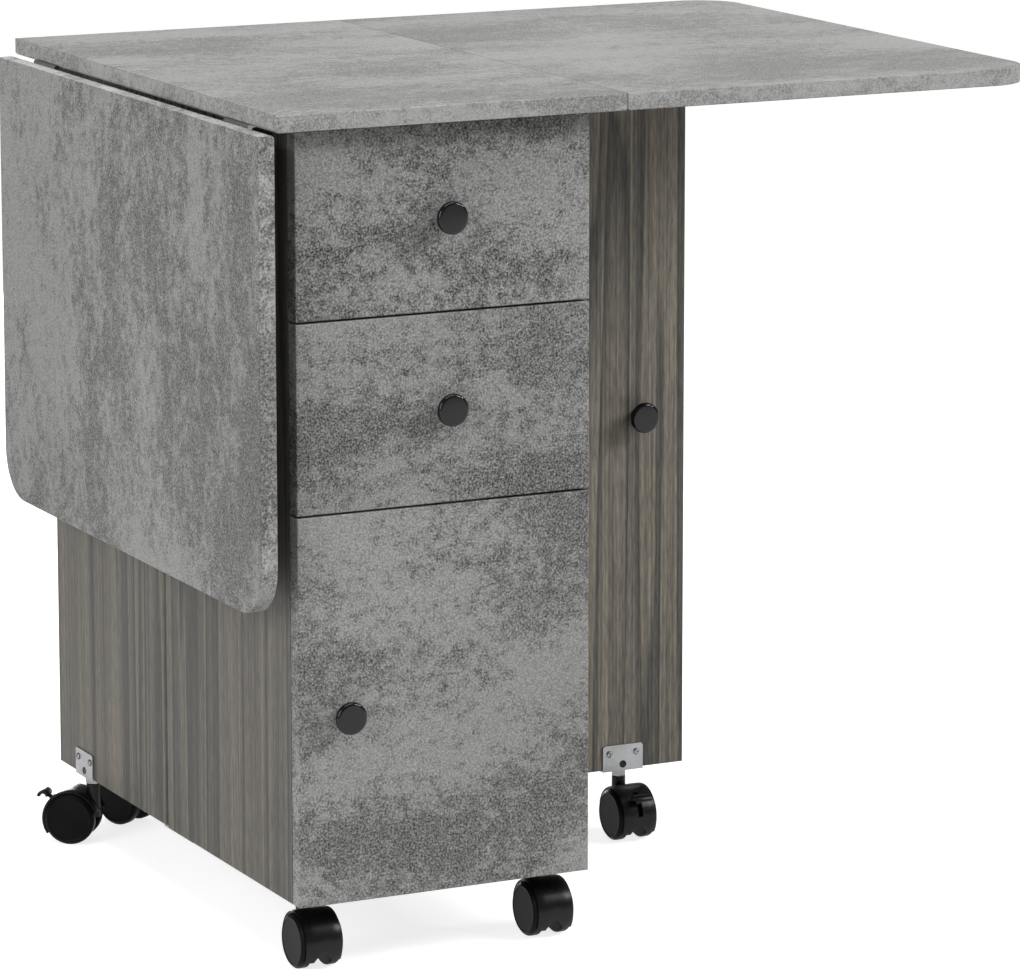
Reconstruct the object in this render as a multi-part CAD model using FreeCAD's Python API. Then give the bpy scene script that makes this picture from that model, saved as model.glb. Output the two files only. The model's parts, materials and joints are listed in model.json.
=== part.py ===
import FreeCAD, Part
import math
import os

V = FreeCAD.Vector
UP = V(0, 0, 1)
ALONG_Y = V(0, 1, 0)

# Folding dining table: a narrow cabinet on casters with a fixed top, a drop leaf on each side
# and, on each side, a swinging gate that stands under the raised leaf.
# X runs to the right, Y to the back and Z up, in millimetres.
# The origin is on the floor, under the middle of the cabinet's width and of the top's depth.
# It is modelled with the left leaf hanging, the right leaf raised and the right gate open.

# Top and leaves
TABLE_HEIGHT = 750.0
TABLE_DEPTH = 600.0
LEAF_LENGTH = 411.0
LEAF_CORNER_RADIUS = 45.0
LEAF_GAP = 0.8
BOARD = 15.0
EDGE_BREAK = 0.6
SEAM_CHAMFER = 2.0

# Cabinet
CABINET_WIDTH = 276.0
CABINET_BOTTOM = 63.0
FRONT_OVERHANG = 21.0
BUMPER_GAP = 1.0
FRONT_REVEAL = 2.0
TOP_REVEAL = 3.0
UPPER_FRONT_HEIGHT = 161.0
LOWER_FRONT_HEIGHT = 164.0
GATE_CLEARANCE = 1.0
REAR_SHELF_HEIGHTS = (285.0, 507.0)
REAR_SHELF_SETBACK = 6.0

# Drawers
DRAWER_SIDE = 12.0
DRAWER_BACK_GAP = 17.5
DRAWER_HEIGHT = 110.0
DRAWER_LIFT = 14.0
DRAWER_BOTTOM = 4.0
DRAWER_BOTTOM_LIFT = 8.0
GROOVE_DEPTH = 5.0
GROOVE_CLEARANCE = 0.1
RUNNER_SPACE = 12.5
RUNNER_LIFT = 40.0
RUNNER_SHORT = 7.0
RUNNER_STEEL = 1.2
CHANNEL_HEIGHT = 36.0
CHANNEL_DEPTH = 9.5
CHANNEL_LIP = 6.0
RUNNER_PLAY = 0.8

# Door hinges
LOWER_HINGE_INSET = 67.0
UPPER_HINGE_INSET = 63.0
CUP_RADIUS = 17.5
CUP_DEPTH = 11.5
CUP_EDGE = 5.0
CUP_SIDES = 20
CUP_EAR_LENGTH = 48.0
CUP_EAR_WIDTH = 14.0
CUP_EAR_STEEL = 0.8
CUP_PLAY = 0.1
ARM_LENGTH = 62.0
ARM_HEIGHT = 14.0
ARM_DEPTH = 10.0
ARM_PLATE = 2.0
ARM_PLATE_LENGTH = 34.0
ARM_PLATE_HEIGHT = 48.0
ARM_GAP = 0.6

# Leaf hinges
LEAF_HINGE_INSET = 79.0
HINGE_LENGTH = 52.0
HINGE_SIDE_ROOM = 0.9
HINGE_STEEL = 1.2
KNUCKLE_RADIUS = 2.2
KNUCKLE_COUNT = 3
KNUCKLE_SIDES = 8
KNUCKLE_GAP = 0.3
KNUCKLE_ROOM = 0.8
HINGE_PIN_RADIUS = 1.2
PIN_SEAT = 5.0
RUNNING_CLEARANCE = 0.05

# Gates
PIVOT_Y = 22.5
GATE_SETBACK = 20.5
GATE_BOTTOM_GAP = 1.0
GATE_TOP_GAP = 4.0
NOSE_GAP = 1.5
PIVOT_PIN_RADIUS = 2.5
PIVOT_HOLE_DEPTH = 10.0
PIVOT_END_PLAY = 1.0
PIVOT_PLATE = 2.0
PIVOT_PLATE_MARGIN = 5.5
PIVOT_PLATE_REACH = 60.0
GLIDE_INSET = 17.0
GLIDE_LENGTH = 11.0
GLIDE_WIDTH = 9.0
GLIDE_GAP = 0.3
GLIDE_BREAK = 1.5

# Brackets that carry the gates' casters
BRACKET_INSET = 64.0
BRACKET_WIDTH = 42.0
BRACKET_HEIGHT = 25.0
BRACKET_STEEL = 1.5
BRACKET_CORNER = 2.0

# Knobs
KNOB_RADIUS = 14.3
KNOB_HEIGHT = 20.0
KNOB_NECK_RADIUS = 6.0
KNOB_RIM = 4.5
KNOB_BREAK = 1.2
KNOB_SIDES = 20
KNOB_ROOM = 5.5
GATE_KNOB_INSET = 50.0
GATE_KNOB_DROP = 329.5
UPPER_KNOB_DROP = 79.0
LOWER_KNOB_DROP = 81.0
DOOR_KNOB_INSET = 41.5
DOOR_KNOB_DROP = 173.5

# Casters
WHEEL_RADIUS = 24.0
WHEEL_WIDTH = 11.0
WHEEL_OUTER_FACE = 19.8
WHEEL_SHOULDER = 3.5
WHEEL_SIDES = 24
AXLE_RADIUS = 2.0
TRAIL = 19.3
HOOD_GAP = 1.0
HOOD_WALL = 2.0
HOOD_HALF_WIDTH = 17.0
HOOD_LIP_ANGLE = -34.0
HOOD_END_ANGLE = 166.0
HOOD_FLOOR_GAP = 9.5
HOOD_FLATS = 13
NOTCH_FLOOR_GAP = 18.0
NOTCH_HALF_WIDTH = 8.6
NOTCH_TOP_HALF_WIDTH = 2.5
WEB_HALF_WIDTH = 5.5
WEB_SIDES = 12
NECK_RADIUS = 6.5
NECK_SIDES = 8
NECK_TOP = 56.2
STEM_RADIUS = 3.5
STEM_TIP_Z = 35.0
STEM_PLAY = 0.3
COLLAR_RADIUS = 6.2
FRONT_CASTER_SIDE_INSET = 26.7
FRONT_CASTER_INSET = 54.6
REAR_CASTER_SIDE_INSET = 56.0
REAR_CASTER_INSET = 29.5
FRONT_CASTER_HEADING = -90.0
REAR_LEFT_HEADING = 118.0
REAR_RIGHT_HEADING = 62.0
GATE_LEFT_HEADING = 144.0
GATE_RIGHT_HEADING = -90.0

# Brake levers
LEVER_PIN_REACH = 24.0
LEVER_PIN_RADIUS = 1.2
LEVER_PIN_SEAT = 1.5
LEVER_ANGLE = 38.0
LEVER_HUB_RADIUS = 3.2
LEVER_HUB_SIDES = 10
LEVER_ARM_WIDTH = 4.0
LEVER_SIDE_PLAY = 0.5
LEVER_PADDLE_WIDTH = 17.0
LEVER_THICKNESS = 3.0
LEVER_RISE = 3.0
LEVER_HOOK_RADIUS = 4.2
LEVER_HOOK_FLATS = 4
LEVER_TRAVEL = 15.0

# Places worked out from the sizes above
TOP_UNDER = TABLE_HEIGHT - BOARD
HALF_DEPTH = TABLE_DEPTH / 2
HALF_CABINET = CABINET_WIDTH / 2
# the top overhangs the cabinet so that a hanging leaf clears the gates' knobs
HALF_TOP = HALF_CABINET + KNOB_HEIGHT + KNOB_ROOM
INNER_X = HALF_CABINET - BOARD
FRONT_Y = FRONT_OVERHANG - HALF_DEPTH
FRONT_BACK_Y = FRONT_Y + BOARD
CARCASS_Y = FRONT_BACK_Y + BUMPER_GAP
UPPER_FRONT_TOP = TOP_UNDER - TOP_REVEAL
LOWER_FRONT_TOP = UPPER_FRONT_TOP - UPPER_FRONT_HEIGHT - FRONT_REVEAL
DOOR_TOP = LOWER_FRONT_TOP - LOWER_FRONT_HEIGHT - FRONT_REVEAL
DOOR_HINGE_HEIGHTS = (CABINET_BOTTOM + LOWER_HINGE_INSET, DOOR_TOP - UPPER_HINGE_INSET)
PIVOT_X = HALF_CABINET - BOARD / 2
GATE_END_Y = HALF_DEPTH - GATE_SETBACK
BRACKET_Y = GATE_END_Y - BRACKET_INSET
GATE_BOTTOM = CABINET_BOTTOM + GATE_BOTTOM_GAP
GATE_TOP = TOP_UNDER - GATE_TOP_GAP
PARTITION_BACK_Y = PIVOT_Y - BOARD / 2 - NOSE_GAP
PARTITION_Y = PARTITION_BACK_Y - BOARD
REAR_OUTER_X = INNER_X - GATE_CLEARANCE
REAR_INNER_X = REAR_OUTER_X - BOARD
FLOOR_TOP = CABINET_BOTTOM + BOARD
HINGE_X = HALF_TOP + LEAF_GAP / 2
HINGE_Z = TOP_UNDER - HINGE_STEEL
HINGE_PLATE_WIDTH = HINGE_X - HALF_CABINET - HINGE_SIDE_ROOM
LEFT_HINGE_AXIS = V(-HINGE_X, 0, HINGE_Z)
BOX_OUTER_X = INNER_X - RUNNER_SPACE
BOX_INNER_X = BOX_OUTER_X - DRAWER_SIDE
BOX_BACK_Y = PARTITION_Y - DRAWER_BACK_GAP
RUNNER_LENGTH = BOX_BACK_Y - FRONT_BACK_Y - RUNNER_SHORT
HOOD_INNER = WHEEL_RADIUS + HOOD_GAP
HOOD_OUTER = HOOD_INNER + HOOD_WALL
WHEEL_INNER_FACE = WHEEL_OUTER_FACE - WHEEL_WIDTH
COLLAR_BOTTOM = NECK_TOP + STEM_PLAY
LEVER_PIN_X = TRAIL + LEVER_PIN_REACH * math.cos(math.radians(LEVER_ANGLE))
LEVER_PIN_Z = WHEEL_RADIUS + LEVER_PIN_REACH * math.sin(math.radians(LEVER_ANGLE))

NODES = {}


# Small helpers

def block(x0, x1, y0, y1, z0, z1):
    return Part.makeBox(x1 - x0, y1 - y0, z1 - z0, V(x0, y0, z0))


def rod(radius, start, end):
    return Part.makeCylinder(radius, (end - start).Length, start, end - start)


def mirrored(shape):
    return shape.mirror(V(0, 0, 0), V(1, 0, 0))


def turned(shape, centre, axis, degrees):
    copy = shape.copy()
    copy.rotate(centre, axis, degrees)
    return copy


def moved(shape, offset):
    copy = shape.copy()
    copy.translate(offset)
    return copy


def extruded(edges, direction):
    return Part.Face(Part.Wire(edges)).extrude(direction)


def ring(radius, sides, z):
    # the corners of a polygon whose flats are radius from the Z axis
    corner = radius / math.cos(math.pi / sides)
    angles = [2 * math.pi * (i + 0.5) / sides for i in range(sides)]
    return [V(corner * math.cos(a), corner * math.sin(a), z) for a in angles]


def polygon_face(points):
    return Part.Face(Part.makePolygon(points + points[:1]))


def turned_form(profile, sides):
    # a form turned about Z in fine flats, from (radius, height) pairs that rise along Z
    rings = [ring(radius, sides, z) for radius, z in profile]
    faces = [polygon_face(rings[0]), polygon_face(rings[-1])]
    for low, high in zip(rings, rings[1:]):
        for i in range(sides):
            j = (i + 1) % sides
            faces.append(polygon_face([low[i], low[j], high[j], high[i]]))
    return Part.makeSolid(Part.makeShell(faces))


def prism(radius, sides, start, end):
    # an upright prism whose flats are radius from its axis
    return moved(turned_form([(radius, 0), (radius, (end - start).Length)], sides), start)


def edges_where(shape, test):
    return [edge for edge in shape.Edges if test(edge.BoundBox)]


def near(a, b):
    return abs(a - b) < 1e-6


def add(name, *solids):
    NODES[name] = list(solids)


# Fixed top and leaves

def fixed_top():
    slab = block(-HALF_TOP, HALF_TOP, -HALF_DEPTH, HALF_DEPTH, TOP_UNDER, TABLE_HEIGHT)
    seams = edges_where(slab, lambda b: near(b.ZMax, TOP_UNDER) and near(b.XLength, 0))
    slab = slab.makeChamfer(SEAM_CHAMFER, seams)
    ends = edges_where(slab, lambda b: near(b.YLength, 0) and near(b.ZLength, 0))
    slab = slab.makeChamfer(EDGE_BREAK, ends)
    for x in (-PIVOT_X, PIVOT_X):
        mouth = V(x, PIVOT_Y, TOP_UNDER)
        slab = slab.cut(rod(PIVOT_PIN_RADIUS + RUNNING_CLEARANCE, mouth, mouth + UP * PIVOT_HOLE_DEPTH))
    return slab


def raised_leaf():
    inner = HALF_TOP + LEAF_GAP
    outer = inner + LEAF_LENGTH
    r = LEAF_CORNER_RADIUS
    slab = block(inner, outer, -HALF_DEPTH, HALF_DEPTH, TOP_UNDER, TABLE_HEIGHT)
    corners = edges_where(slab, lambda b: near(b.ZLength, BOARD) and near(b.XMin, outer))
    slab = slab.makeFillet(r, corners)
    seam = edges_where(slab, lambda b: near(b.XMax, inner) and near(b.ZMax, TOP_UNDER))
    slab = slab.makeChamfer(SEAM_CHAMFER, seam)
    outline = edges_where(slab, lambda b: near(b.ZLength, 0) and b.XMax > inner + r)
    return slab.makeChamfer(EDGE_BREAK, outline)


def knuckle_spans(y):
    step = HINGE_LENGTH / KNUCKLE_COUNT
    first = y - HINGE_LENGTH / 2
    return [(first + i * step, first + (i + 1) * step - KNUCKLE_GAP) for i in range(KNUCKLE_COUNT)]


def hinge_half(y, side, spans):
    # side is -1 for the half under the fixed top and 1 for the half under the raised right leaf
    reach = KNUCKLE_RADIUS + KNUCKLE_ROOM
    near_x, far_x = sorted((HINGE_X + side * reach, HINGE_X + side * HINGE_PLATE_WIDTH))
    half = block(near_x, far_x, y - HINGE_LENGTH / 2, y + HINGE_LENGTH / 2, HINGE_Z, TOP_UNDER)
    for y0, y1 in spans:
        x0, x1 = sorted((HINGE_X, HINGE_X + side * reach))
        tongue = block(x0, x1, y0, y1, HINGE_Z, TOP_UNDER)
        barrel = turned_form([(KNUCKLE_RADIUS, y0), (KNUCKLE_RADIUS, y1)], KNUCKLE_SIDES)
        barrel = moved(turned(barrel, V(0, 0, 0), V(1, 0, 0), -90), V(HINGE_X, 0, HINGE_Z))
        half = half.fuse([tongue, barrel])
    return half.removeSplitter()


def hinge_line(y, radius):
    # a pin or bore through the middle knuckle, seated a little way into the outer two
    reach = HINGE_LENGTH / KNUCKLE_COUNT / 2 + PIN_SEAT
    return rod(radius, V(HINGE_X, y - reach, HINGE_Z), V(HINGE_X, y + reach, HINGE_Z))


def hanging(raised_right):
    # the left leaf is the right one mirrored and turned down about its own hinge line
    return turned(mirrored(raised_right), LEFT_HINGE_AXIS, ALONG_Y, -90)


def build_top():
    leaf = raised_leaf()
    hinge_y = HALF_DEPTH - LEAF_HINGE_INSET
    plates = []
    flaps = []
    for y in (-hinge_y, hinge_y):
        spans = knuckle_spans(y)
        pin = hinge_line(y, HINGE_PIN_RADIUS)
        bore = hinge_line(y, HINGE_PIN_RADIUS + RUNNING_CLEARANCE)
        plates.append(hinge_half(y, -1, spans[0::2]).fuse(pin).removeSplitter())
        flaps.append(hinge_half(y, 1, spans[1::2]).cut(bore))
    add("fixed_top", fixed_top())
    add("leaf_right_board", leaf)
    add("leaf_left_board", hanging(leaf))
    add("leaf_hinge_plates", *plates, *[mirrored(p) for p in plates])
    add("leaf_right_hinge_flaps", *flaps)
    add("leaf_left_hinge_flaps", *[hanging(f) for f in flaps])


# Cabinet boards

def build_carcass():
    z0, z1 = CABINET_BOTTOM, TOP_UNDER
    front_side = block(INNER_X, HALF_CABINET, CARCASS_Y, PARTITION_BACK_Y, z0, z1)
    rear_side = block(REAR_INNER_X, REAR_OUTER_X, PARTITION_BACK_Y, GATE_END_Y, z0, z1)
    partition = block(-INNER_X, INNER_X, PARTITION_Y, PARTITION_BACK_Y, z0, z1)
    front_floor = block(-INNER_X, INNER_X, CARCASS_Y, PARTITION_Y, z0, FLOOR_TOP)
    rear_floor = block(-REAR_INNER_X, REAR_INNER_X, PARTITION_BACK_Y, GATE_END_Y, z0, FLOOR_TOP)
    shelf_z = DOOR_TOP + FRONT_REVEAL / 2 - BOARD / 2
    shelf = block(-INNER_X, INNER_X, CARCASS_Y, PARTITION_Y, shelf_z, shelf_z + BOARD)
    shelf_end = GATE_END_Y - REAR_SHELF_SETBACK
    rear_shelves = [block(-REAR_INNER_X, REAR_INNER_X, PARTITION_BACK_Y, shelf_end, z, z + BOARD)
                    for z in REAR_SHELF_HEIGHTS]
    add("front_side_right", front_side)
    add("front_side_left", mirrored(front_side))
    add("rear_side_right", rear_side)
    add("rear_side_left", mirrored(rear_side))
    add("mid_partition", partition)
    add("front_floor", front_floor)
    add("rear_floor", rear_floor)
    add("drawer_shelf", shelf)
    add("rear_shelves", *rear_shelves)


# Knobs: a turned mushroom that flares from its neck to a flat face, along +Z from its seat

def knob():
    shoulder = KNOB_HEIGHT - KNOB_RIM
    profile = [(KNOB_NECK_RADIUS, 0), (KNOB_NECK_RADIUS, shoulder / 2), (KNOB_RADIUS, shoulder),
               (KNOB_RADIUS, KNOB_HEIGHT - KNOB_BREAK), (KNOB_RADIUS - KNOB_BREAK, KNOB_HEIGHT)]
    return turned_form(profile, KNOB_SIDES)


def knob_on_front(x, z):
    return moved(turned(knob(), V(0, 0, 0), V(1, 0, 0), 90), V(x, FRONT_Y, z))


# Drawers

def channel(z):
    # the cabinet's half of a runner: a steel channel screwed to the side, open towards the drawer
    x1 = INNER_X
    x0 = x1 - CHANNEL_DEPTH
    half = CHANNEL_HEIGHT / 2
    y0 = CARCASS_Y + BUMPER_GAP
    y1 = y0 + RUNNER_LENGTH
    outer = block(x0, x1, y0, y1, z - half, z + half)
    t = RUNNER_STEEL
    inner = block(x0 + t, x1 - t, y0, y1, z - half + t, z + half - t)
    mouth = block(x0, x0 + t, y0, y1, z - half + CHANNEL_LIP, z + half - CHANNEL_LIP)
    return outer.cut(inner).cut(mouth)


def runner(z):
    # the drawer's half: a bar with a head that runs inside the channel behind its lips
    t = RUNNER_STEEL
    y0 = FRONT_BACK_Y + BUMPER_GAP
    y1 = y0 + RUNNER_LENGTH
    lips = CHANNEL_HEIGHT / 2 - CHANNEL_LIP - RUNNER_PLAY
    head = CHANNEL_HEIGHT / 2 - t - RUNNER_PLAY
    inside = INNER_X - CHANNEL_DEPTH + t + RUNNER_PLAY
    bar = block(BOX_OUTER_X, inside, y0, y1, z - lips, z + lips)
    return bar.fuse(block(inside, inside + 2 * t, y0, y1, z - head, z + head)).removeSplitter()


def build_drawer(name, front_top, front_height, knob_drop):
    z0 = front_top - front_height
    front = block(-HALF_CABINET, HALF_CABINET, FRONT_Y, FRONT_BACK_Y, z0, front_top)
    front = front.makeChamfer(EDGE_BREAK, edges_where(front, lambda b: near(b.YMax, FRONT_Y)))
    box_z = z0 + DRAWER_LIFT
    box_top = box_z + DRAWER_HEIGHT
    panel_z = box_z + DRAWER_BOTTOM_LIFT
    groove_x = BOX_INNER_X + GROOVE_DEPTH
    groove_top = panel_z + DRAWER_BOTTOM + GROOVE_CLEARANCE
    side = block(BOX_INNER_X, BOX_OUTER_X, FRONT_BACK_Y, BOX_BACK_Y, box_z, box_top)
    side = side.cut(block(BOX_INNER_X, groove_x, FRONT_BACK_Y, BOX_BACK_Y, panel_z, groove_top))
    back = block(-BOX_INNER_X, BOX_INNER_X, BOX_BACK_Y - DRAWER_SIDE, BOX_BACK_Y, groove_top, box_top)
    panel_x = groove_x - GROOVE_CLEARANCE
    panel = block(-panel_x, panel_x, FRONT_BACK_Y, BOX_BACK_Y, panel_z, panel_z + DRAWER_BOTTOM)
    bar = runner(box_z + RUNNER_LIFT)
    add(name + "_front", front)
    add(name + "_sides", side, mirrored(side))
    add(name + "_back", back)
    add(name + "_bottom", panel)
    add(name + "_runners", bar, mirrored(bar))
    add(name + "_knob", knob_on_front(0, front_top - knob_drop))
    return box_z + RUNNER_LIFT


def build_drawers():
    upper = build_drawer("upper_drawer", UPPER_FRONT_TOP, UPPER_FRONT_HEIGHT, UPPER_KNOB_DROP)
    lower = build_drawer("lower_drawer", LOWER_FRONT_TOP, LOWER_FRONT_HEIGHT, LOWER_KNOB_DROP)
    rails = [channel(z) for z in (upper, lower)]
    add("drawer_rails", *rails, *[mirrored(rail) for rail in rails])


# Door with concealed cup hinges

def cup_x():
    return HALF_CABINET - CUP_EDGE - CUP_RADIUS


def cup_form(radius, depth, z):
    form = turned_form([(radius, 0), (radius, depth)], CUP_SIDES)
    return moved(turned(form, V(0, 0, 0), V(1, 0, 0), 90), V(cup_x(), FRONT_BACK_Y, z))


def hinge_cup(z):
    # a shallow steel cup let into the door, with an ear above and below for its screws
    mouth = V(cup_x(), FRONT_BACK_Y, z)
    cup = cup_form(CUP_RADIUS - CUP_PLAY, CUP_DEPTH, z)
    half_width = CUP_EAR_WIDTH / 2
    half_length = CUP_EAR_LENGTH / 2
    ears = block(mouth.x - half_width, mouth.x + half_width, mouth.y, mouth.y + CUP_EAR_STEEL,
                 z - half_length, z + half_length)
    return cup.fuse(ears).removeSplitter()


def hinge_arm(z):
    # the arm lies on its mounting plate on the inner face of the right side
    plate_x = INNER_X - ARM_PLATE
    y0 = CARCASS_Y + ARM_GAP
    y1 = y0 + ARM_LENGTH
    half = ARM_PLATE_HEIGHT / 2
    plate = block(plate_x, INNER_X, y1 - ARM_PLATE_LENGTH, y1, z - half, z + half)
    arm = block(plate_x - ARM_DEPTH, plate_x, y0, y1, z - ARM_HEIGHT / 2, z + ARM_HEIGHT / 2)
    back_edge = edges_where(arm, lambda b: near(b.XMax, plate_x - ARM_DEPTH) and near(b.YLength, 0)
                            and b.YMin > y0 and near(b.XLength, 0))
    arm = arm.makeChamfer(ARM_DEPTH / 2, back_edge)
    return plate.fuse(arm).removeSplitter()


def build_door():
    panel = block(-HALF_CABINET, HALF_CABINET, FRONT_Y, FRONT_BACK_Y, CABINET_BOTTOM, DOOR_TOP)
    panel = panel.makeChamfer(EDGE_BREAK, edges_where(panel, lambda b: near(b.YMax, FRONT_Y)))
    for z in DOOR_HINGE_HEIGHTS:
        panel = panel.cut(cup_form(CUP_RADIUS, CUP_DEPTH + CUP_PLAY, z))
    add("door_panel", panel)
    add("door_knob", knob_on_front(DOOR_KNOB_INSET - HALF_CABINET, DOOR_TOP - DOOR_KNOB_DROP))
    add("door_hinge_cups", *[hinge_cup(z) for z in DOOR_HINGE_HEIGHTS])
    add("door_hinge_arms", *[hinge_arm(z) for z in DOOR_HINGE_HEIGHTS])


# Gates: made closed on the right side, then opened there and mirrored on the left

def pivot_at(z):
    return V(PIVOT_X, PIVOT_Y, z)


def gate_panel():
    nose = V(PIVOT_X, PIVOT_Y - BOARD / 2, GATE_BOTTOM)
    outer = V(HALF_CABINET, PIVOT_Y, GATE_BOTTOM)
    outer_end = V(HALF_CABINET, GATE_END_Y, GATE_BOTTOM)
    inner_end = V(INNER_X, GATE_END_Y, GATE_BOTTOM)
    inner = V(INNER_X, PIVOT_Y, GATE_BOTTOM)
    outline = [
        Part.LineSegment(outer, outer_end).toShape(),
        Part.LineSegment(outer_end, inner_end).toShape(),
        Part.LineSegment(inner_end, inner).toShape(),
        Part.Arc(inner, nose, outer).toShape(),
    ]
    panel = extruded(outline, UP * (GATE_TOP - GATE_BOTTOM))
    free = edges_where(panel, lambda b: near(b.YMin, GATE_END_Y) and near(b.XLength, 0))
    return panel.makeChamfer(EDGE_BREAK, free)


def gate_pins():
    # one pin stands on each end of the panel; the upper one stops short of the end of its hole
    lower = rod(PIVOT_PIN_RADIUS, pivot_at(CABINET_BOTTOM - PIVOT_PLATE), pivot_at(GATE_BOTTOM))
    upper_end = TOP_UNDER + PIVOT_HOLE_DEPTH - PIVOT_END_PLAY
    return [lower, rod(PIVOT_PIN_RADIUS, pivot_at(GATE_TOP), pivot_at(upper_end))]


def gate_glide():
    y = GATE_END_Y - GLIDE_INSET
    half = GLIDE_WIDTH / 2
    top = TOP_UNDER - GLIDE_GAP
    pad = block(PIVOT_X - half, PIVOT_X + half, y - GLIDE_LENGTH / 2, y + GLIDE_LENGTH / 2, GATE_TOP, top)
    return pad.makeChamfer(GLIDE_BREAK, edges_where(pad, lambda b: near(b.ZMin, top)))


def gate_bracket():
    # an angle of zinc-plated steel: one flange on the outer face, one under the edge, with the stem
    y = BRACKET_Y
    half = BRACKET_WIDTH / 2
    under = GATE_BOTTOM - BRACKET_STEEL
    outside = HALF_CABINET + BRACKET_STEEL
    plate = block(HALF_CABINET, outside, y - half, y + half, under, under + BRACKET_HEIGHT)
    top = under + BRACKET_HEIGHT
    corners = edges_where(plate, lambda b: near(b.YLength + b.ZLength, 0) and near(b.ZMin, top))
    plate = plate.makeChamfer(BRACKET_CORNER, corners)
    foot = block(INNER_X, outside, y - half, y + half, under, GATE_BOTTOM)
    return plate.fuse([foot, stem(PIVOT_X, y, under)]).removeSplitter()


def gate_knob():
    seat = V(HALF_CABINET, GATE_END_Y - GATE_KNOB_INSET, GATE_TOP - GATE_KNOB_DROP)
    return moved(turned(knob(), V(0, 0, 0), ALONG_Y, 90), seat)


def pivot_plate():
    # a flat strip under the front side's lower edge that reaches back under the gate's lower pin
    z0 = CABINET_BOTTOM - PIVOT_PLATE
    z1 = CABINET_BOTTOM
    x0 = PIVOT_X - PIVOT_PLATE_MARGIN
    x1 = PIVOT_X + PIVOT_PLATE_MARGIN
    strip = block(x0, x1, PIVOT_Y - PIVOT_PLATE_REACH, PIVOT_Y + PIVOT_PLATE_MARGIN, z0, z1)
    return strip.cut(rod(PIVOT_PIN_RADIUS + RUNNING_CLEARANCE, pivot_at(z0), pivot_at(z1)))


def opened(closed_right):
    return turned(closed_right, pivot_at(0), UP, -90)


def build_gates():
    pieces = {
        "panel": [gate_panel()],
        "pivot_pins": gate_pins(),
        "glide": [gate_glide()],
        "bracket": [gate_bracket()],
        "knob": [gate_knob()],
    }
    for word, solids in pieces.items():
        add("gate_right_" + word, *[opened(solid) for solid in solids])
        add("gate_left_" + word, *[mirrored(solid) for solid in solids])
    plate = pivot_plate()
    add("gate_pivot_plates", plate, mirrored(plate))


# Casters: made about the stem, with the wheels trailing along +X, then turned to their heading

def front_caster_places():
    x = HALF_CABINET - FRONT_CASTER_SIDE_INSET
    y = FRONT_Y + FRONT_CASTER_INSET
    return [(-x, y), (x, y)]


def rear_caster_places():
    x = REAR_OUTER_X - REAR_CASTER_SIDE_INSET
    y = GATE_END_Y - REAR_CASTER_INSET
    return [(-x, y), (x, y)]


def stem(x, y, seat):
    # a pin with a hexagonal collar that is tightened against its seat
    pin = rod(STEM_RADIUS, V(x, y, STEM_TIP_Z), V(x, y, COLLAR_BOTTOM))
    return prism(COLLAR_RADIUS, 6, V(x, y, COLLAR_BOTTOM), V(x, y, seat)).fuse(pin)


def axle_point(y=0.0):
    return V(TRAIL, y, WHEEL_RADIUS)


def on_circle(radius, degrees, y):
    angle = math.radians(degrees)
    return axle_point(y) + V(radius * math.cos(angle), 0, radius * math.sin(angle))


def hood_band():
    # the band over the wheels in fine flats, from its lip on the trailing side to its end
    step = (HOOD_END_ANGLE - HOOD_LIP_ANGLE) / HOOD_FLATS
    turns = [HOOD_LIP_ANGLE + i * step for i in range(HOOD_FLATS + 1)]
    outside = [on_circle(HOOD_OUTER, turn, -HOOD_HALF_WIDTH) for turn in turns]
    inside = [on_circle(HOOD_INNER, turn, -HOOD_HALF_WIDTH) for turn in reversed(turns)]
    return polygon_face(outside + inside).extrude(ALONG_Y * (2 * HOOD_HALF_WIDTH))


def hood_underside():
    # what is cut from below: a level edge that rises to a notch between the wheels
    far = HOOD_OUTER
    outline = [(far, -far), (far, HOOD_FLOOR_GAP)]
    outline += [(NOTCH_HALF_WIDTH, HOOD_FLOOR_GAP), (NOTCH_TOP_HALF_WIDTH, NOTCH_FLOOR_GAP)]
    outline += [(-y, z) for y, z in reversed(outline)]
    section = polygon_face([V(-far, y, z) for y, z in outline])
    return section.extrude(V(TRAIL + 3 * far, 0, 0))


def lever_pin(y):
    return V(LEVER_PIN_X, y, LEVER_PIN_Z)


def caster_hood(braked):
    band = hood_band()
    disc = turned_form([(HOOD_INNER, -WEB_HALF_WIDTH), (HOOD_INNER, WEB_HALF_WIDTH)], WEB_SIDES)
    web = moved(turned(disc, V(0, 0, 0), V(1, 0, 0), 90), axle_point())
    neck = prism(NECK_RADIUS, NECK_SIDES, V(0, 0, WHEEL_RADIUS), V(0, 0, NECK_TOP))
    hood = band.fuse([web, neck]).cut(hood_underside())
    hood = hood.cut(rod(STEM_RADIUS + RUNNING_CLEARANCE, V(0, 0, STEM_TIP_Z - STEM_PLAY), V(0, 0, NECK_TOP)))
    bore = AXLE_RADIUS + RUNNING_CLEARANCE
    hood = hood.cut(rod(bore, axle_point(-WEB_HALF_WIDTH), axle_point(WEB_HALF_WIDTH)))
    if braked:
        seat = slot_half() + LEVER_PIN_SEAT
        hood = hood.cut(lever_room()).fuse(rod(LEVER_PIN_RADIUS, lever_pin(-seat), lever_pin(seat)))
    return hood.removeSplitter()


def slot_half():
    return LEVER_ARM_WIDTH / 2 + LEVER_SIDE_PLAY


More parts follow.
